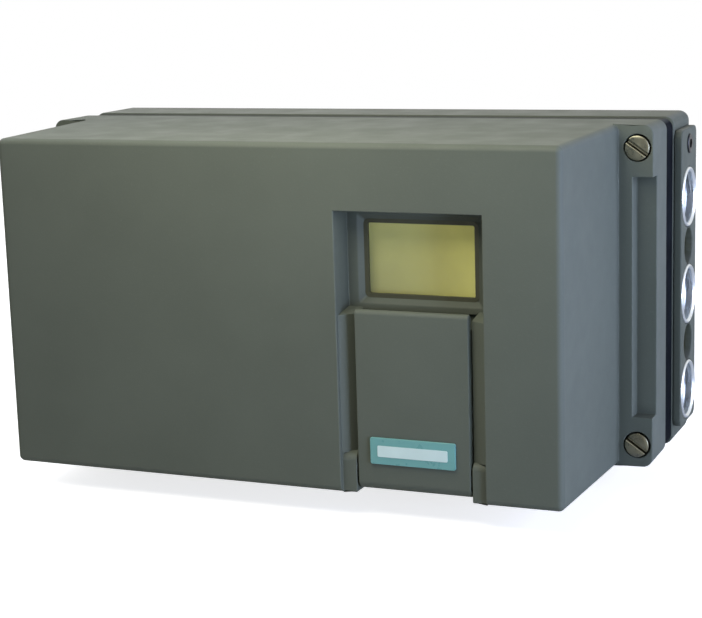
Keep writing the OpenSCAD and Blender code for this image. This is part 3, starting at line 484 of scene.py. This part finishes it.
# Mesh helpers
def ringSolid(name, rings, joined=False):  # walls from ring to ring; ends capped, or joined in a loop
    builder = bmesh.new()
    loops = [[builder.verts.new(corner) for corner in ring] for ring in rings]
    following = loops[1:] + loops[:1] if joined else loops[1:]
    for first, second in zip(loops, following):
        for i in range(len(first)):
            j = (i + 1) % len(first)
            builder.faces.new((first[i], first[j], second[j], second[i]))
    if not joined:
        builder.faces.new(loops[0])
        builder.faces.new(reversed(loops[-1]))
    bmesh.ops.recalc_face_normals(builder, faces=builder.faces)
    mesh = bpy.data.meshes.new(name)
    builder.to_mesh(mesh)
    builder.free()
    return mesh


def flatPad(name, outline, thick, middle):  # lies in X and Z, front face towards -Y
    rings = [[middle + Vector((x, y, z)) for x, z in outline] for y in (-thick, 0.0)]
    return ringSolid(name, rings)


def roundedOutline(size, corner, steps=4):  # steps in each rounded corner
    outline = []
    for turn, (x, z) in enumerate(((1, 1), (-1, 1), (-1, -1), (1, -1))):
        for step in range(steps + 1):
            angle = math.pi / 2 * (turn + step / steps)
            outline.append((x * (size[0] / 2 - corner) + corner * math.cos(angle),
                            z * (size[1] / 2 - corner) + corner * math.sin(angle)))
    return outline


def smoothTo(mesh, degrees):  # smooth, with a crease where faces meet at more degrees
    mesh.shade_smooth()
    mesh.set_sharp_from_angle(angle=math.radians(degrees))


def addPiece(name, mesh, body, material):
    piece = bpy.data.objects.new(name, mesh)
    bpy.context.scene.collection.objects.link(piece)
    mesh.materials.append(material)
    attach(piece, body)


# Threads of the air ports, which open towards +X
threadSpec = {
    "pitch": 1.337 * mm,
    "rise": 0.62 * mm,     # into the bore
    "crest": 0.25 * mm,    # width along the bore
    "foot": 1.05 * mm,
    "bite": 0.05 * mm,     # sunk into the bore's wall
    "lead": 1.0 * mm,      # free at both ends of the bore
    "runOut": 0.5,         # turns in which it grows and fades
    "least": 0.03,         # share of the rise that its ends keep
    "steps": 40,           # in one turn
    "crease": 40,
}


def portThread(name, mount, spec):
    radius = mount["dims"]["r_mm"] * mm
    length = mount["dims"]["length_mm"] * mm
    mouth = Vector(mount["pos_m"]) + Vector(mount["axis"]) * length / 2
    steps = spec["steps"]
    count = int((length - 2 * spec["lead"]) / spec["pitch"] * steps)
    rings = []
    for step in range(count + 1):
        angle = 2 * math.pi * step / steps
        inwards = spec["lead"] + spec["pitch"] * step / steps
        fade = min(1.0, step / steps / spec["runOut"], (count - step) / steps / spec["runOut"])
        top = radius - spec["rise"] * max(fade, spec["least"])
        root = radius + spec["bite"]
        section = ((root, -spec["foot"] / 2), (top, -spec["crest"] / 2),
                   (top, spec["crest"] / 2), (root, spec["foot"] / 2))
        rings.append([mouth + Vector((-inwards - shift, reach * math.cos(angle), reach * math.sin(angle)))
                      for reach, shift in section])
    mesh = ringSolid(name, rings)
    smoothTo(mesh, spec["crease"])
    addPiece(name, mesh, "housing", finishes["thread_metal"])


portMounts = [mount for mount in frame["record"]["mounts"] if mount["kind"] == "threaded_hole"]
for number, mount in enumerate(portMounts, 1):
    portThread("port_thread_%d" % number, mount, threadSpec)
print("port threads cut:", len(portMounts))


# Sloping reveal strips in the gaps beside the flap
revealSpec = {
    "gap": 4.0 * mm,       # from the recess wall to the flap
    "clear": 0.4 * mm,     # left free beside the flap
    "proud": 0.2 * mm,     # front edge before the flap's face
    "floorRise": {-1: 3.6 * mm, 1: 6.2 * mm},   # back edge above the recess floor, left and right
    "keyRise": 2.0 * mm,   # key ends above the same floor
    "bite": 0.2 * mm,      # sunk into the cover
    "foot": 8.5 * mm,      # lower end above the flap's foot
    "head": 0.4 * mm,      # upper end below the flap's top
    "taper": 1.2 * mm,     # sloped upper end
}


def revealStrip(name, side, spec):
    low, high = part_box("key_flap")
    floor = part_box("key_down")[0].y + spec["keyRise"]
    edge = low.x if side < 0 else high.x
    inner = edge + side * spec["clear"]
    outer = edge + side * (spec["gap"] + spec["bite"])
    under = floor + spec["bite"]
    over = floor - spec["bite"]
    front = low.y - spec["proud"]
    back = floor - spec["floorRise"][side]
    top = high.z - spec["head"]
    full = ((outer, front), (inner, back), (inner, under), (outer, under))
    flat = ((outer, over), (inner, over), (inner, under), (outer, under))
    levels = ((low.z + spec["foot"], full), (top - spec["taper"], full), (top, flat))
    mesh = ringSolid(name, [[(x, y, z) for x, y in section] for z, section in levels])
    addPiece(name, mesh, "housing", finishes["cover_plastic"])


revealStrip("reveal_left", -1, revealSpec)
revealStrip("reveal_right", 1, revealSpec)
print("reveal strips set")


# Pale field on the bare plate of the flap
fieldSpec = {"share": (0.82, 0.42), "thick": 0.1 * mm, "corner": 0.3 * mm}


def plateField(spec):
    low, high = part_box("flap_plate")
    size = ((high.x - low.x) * spec["share"][0], (high.z - low.z) * spec["share"][1])
    middle = Vector(((low.x + high.x) / 2, low.y, (low.z + high.z) / 2))
    mesh = flatPad("plate_field", roundedOutline(size, spec["corner"]), spec["thick"], middle)
    addPiece("plate_field", mesh, "flap", finishes["pale_field"])


plateField(fieldSpec)
print("plate field laid")


# Dark lip round the display window, on the inner part of the bevel: a painted shadow where the window's
# rim shades the display
shadowLipSpec = {
    "lap": 1.2 * mm,      # from the rim of the pane to the inner edge
    "width": 1.05 * mm,
    "rise": 0.9 * mm,     # before the pane
    "corner": 0.5 * mm,
}


def windowShadowLip(spec):
    low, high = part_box("window_pane")
    middle = (low + high) / 2
    size = (high.x - low.x - 2 * spec["lap"], high.z - low.z - 2 * spec["lap"])
    front = low.y - spec["rise"]
    rings = []
    for grow, y in ((0.0, low.y), (0.0, front), (spec["width"], front), (spec["width"], low.y)):
        outline = roundedOutline([side + 2 * grow for side in size], spec["corner"] + grow)
        rings.append([(middle.x + x, y, middle.z + z) for x, z in outline])
    mesh = ringSolid("window_shadow_lip", rings, joined=True)
    addPiece("window_shadow_lip", mesh, "housing", finishes["painted_shadow_lip"])


windowShadowLip(shadowLipSpec)
print("window gasket laid")


# Marks on the keys: a bar and two arrows
markSpec = {
    "bar": (2.6 * mm, 0.7 * mm),
    "corner": 0.3 * mm,
    "reach": 1.5 * mm,    # from an arrow's middle to its tips
    "thick": 0.08 * mm,
    "dish": 0.34 * mm,    # the mark's back behind the key's rim
}


def arrowOutline(reach, way):  # way 1 points up, -1 down
    turns = [math.radians(way * 90 + turn) for turn in (0, 120, 240)]
    return [(reach * math.cos(turn), reach * math.sin(turn)) for turn in turns]


def keyMark(key, outline, spec):
    low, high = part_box(key)
    middle = Vector(((low.x + high.x) / 2, low.y + spec["dish"], (low.z + high.z) / 2))
    name = key + "_mark"
    addPiece(name, flatPad(name, outline, spec["thick"], middle), key, finishes["key_mark"])


keyMark("key_mode", roundedOutline(markSpec["bar"], markSpec["corner"]), markSpec)
keyMark("key_down", arrowOutline(markSpec["reach"], -1), markSpec)
keyMark("key_up", arrowOutline(markSpec["reach"], 1), markSpec)
print("keys marked")


# Dark socket screw that holds the upper end of the port land
landScrew = {
    "head": 2.5 * mm,       # radius
    "height": 0.4 * mm,
    "chamfer": 0.2 * mm,
    "socket": 1.3 * mm,     # radius at the corners of the hexagon
    "depth": 0.35 * mm,
    "fromTop": 4.0 * mm,    # below the upper end of the land
    "sides": 32,
    "crease": 35,
}


def hexagonReach(angle):  # 1 at the corners, less on the flats
    return math.cos(math.pi / 6) / math.cos(angle % (math.pi / 3) - math.pi / 6)


def socketScrew(spec):
    low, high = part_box("port_land")
    seat = Vector((high.x, (low.y + high.y) / 2, high.z - spec["fromTop"]))
    head = spec["head"]
    height = spec["height"]
    profile = ((head, 0.0, False), (head, height - spec["chamfer"], False),
               (head - spec["chamfer"], height, False), (spec["socket"], height, True),
               (spec["socket"], height - spec["depth"], True))
    rings = []
    for radius, rise, hexagon in profile:
        ring = []
        for step in range(spec["sides"]):
            angle = 2 * math.pi * step / spec["sides"]
            reach = radius * hexagonReach(angle) if hexagon else radius
            ring.append(seat + Vector((rise, reach * math.cos(angle), reach * math.sin(angle))))
        rings.append(ring)
    mesh = ringSolid("land_screw", rings)
    smoothTo(mesh, spec["crease"])
    addPiece("land_screw", mesh, "housing", finishes["dark_steel"])


socketScrew(landScrew)
print("land screw set")


# Stage: pale floor that fades into white, soft studio light
floorSpec = {
    "size": 3.0,
    "cells": 8,
    "drop": 6.0 * mm,         # below the object, so that the open flap clears it
    "tone": (0.93, 0.93, 0.93),
    "tint": {"size": 60 * mm, "detail": 3.0, "limits": (0.3, 0.7), "shades": (0.99, 1.0)},
    "bounce": (0.44, 0.44, 0.44),   # its tone in the light that it throws back
    "glow": 0.75,             # towards the camera alone
    "fade": (0.40, 0.75),     # from the middle, where it gives way to the white
    "rough": 0.8,
    "specular": 0.1,
}
skySpec = {"tone": (0.93, 0.97, 1.0), "light": 0.05, "white": (1.0, 1.0, 1.0, 1.0)}


def makeFloor(spec):
    underside = cadBox[0].z
    bpy.ops.mesh.primitive_grid_add(x_subdivisions=spec["cells"], y_subdivisions=spec["cells"],
                                    size=spec["size"], location=(0, 0, underside - spec["drop"]))
    floor = bpy.context.object
    floor.name = "floor"
    material, tree, shader = startMaterial("pale_floor")
    place = objectPlace(tree)
    path = addNode(tree, "ShaderNodeLightPath").outputs
    dull, clean = (shade(spec["tone"], amount) for amount in spec["tint"]["shades"])
    pale = mixTones(tree, patches(tree, place, spec["tint"]), dull, clean)
    reach = addNode(tree, "ShaderNodeVectorMath", {0: place}, operation="LENGTH")
    setInputs(tree, shader, {
        "Base Color": mixTones(tree, path["Is Diffuse Ray"], pale, shade(spec["bounce"], 1.0)),
        "Roughness": spec["rough"],
        "Specular IOR Level": spec["specular"],
        "Emission Color": skySpec["white"],
        "Emission Strength": calc(tree, "MULTIPLY", path["Is Camera Ray"], spec["glow"]),
        "Alpha": remap(tree, reach.outputs["Value"], *spec["fade"], 1.0, 0.0),
    })
    floor.data.materials.append(material)


def makeSky(spec):
    world = bpy.data.worlds.new("studio")
    world.use_nodes = True
    bpy.context.scene.world = world
    tree = world.node_tree
    dim = tree.nodes["Background"]
    setInputs(tree, dim, {"Color": shade(spec["tone"], 1.0), "Strength": spec["light"]})
    white = addNode(tree, "ShaderNodeBackground", {"Color": spec["white"], "Strength": 1.0})
    path = addNode(tree, "ShaderNodeLightPath").outputs
    seen = path["Is Camera Ray"]
    for other in ("Is Glossy Ray", "Is Transmission Ray"):
        seen = calc(tree, "MAXIMUM", seen, path[other])
    blend = addNode(tree, "ShaderNodeMixShader", {0: seen, 1: dim.outputs["Background"],
                                                  2: white.outputs["Background"]})
    setInputs(tree, tree.nodes["World Output"], {"Surface": blend.outputs["Shader"]})


lamps = {
    "brow": {"place": (0.01, -0.15, 0.13), "aim": (0.01, -0.084, 0.025), "size": 0.12,
             "power": 0.275, "tone": (1.0, 0.97, 0.81), "glare": True},
    "upperLeft": {"place": (-0.22, -0.04, 0.22), "aim": (-0.03, -0.05, 0.04), "size": 0.15,
                  "power": 0.27, "tone": (0.88, 0.96, 1.0), "glare": True},
    "coolSide": {"place": (0.88, -0.08, 0.08), "aim": (0.07, -0.05, 0.0), "size": 0.7,
                 "power": 11.8, "tone": (0.59, 0.67, 1.0), "glare": True},
    "coolFront": {"place": (0.34, -0.26, -0.005), "aim": (0.07, -0.07, -0.02), "size": 0.08,
                  "power": 0.70, "tone": (0.57, 0.71, 1.0), "glare": True},
    "faceFill": {"place": (0.55, -0.60, 0.12), "aim": (0.07, -0.05, 0.0), "size": 0.5,
                 "power": 0.2, "tone": (1.0, 0.95, 0.82), "glare": True},
    "backFill": {"place": (-0.65, 0.75, 0.14), "aim": (0.0, -0.03, 0.0), "size": 0.7,
                 "power": 13.0, "tone": (1.0, 0.99, 0.97), "glare": False},   # it would lie on the top
}


def hangLamp(name, spec):
    data = bpy.data.lights.new(name, "AREA")
    data.size = spec["size"]
    data.energy = spec["power"]
    data.color = spec["tone"]
    lamp = bpy.data.objects.new(name, data)
    lamp.location = spec["place"]
    lamp.visible_camera = False
    lamp.visible_glossy = spec["glare"]
    lamp.rotation_mode = "QUATERNION"
    lamp.rotation_quaternion = (Vector(spec["aim"]) - Vector(spec["place"])).to_track_quat("-Z", "Y")
    bpy.context.scene.collection.objects.link(lamp)


makeFloor(floorSpec)
makeSky(skySpec)
for name, spec in lamps.items():
    hangLamp(name, spec)
bpy.context.scene.view_settings.view_transform = "Standard"
print("stage lit by", len(lamps), "lamps")
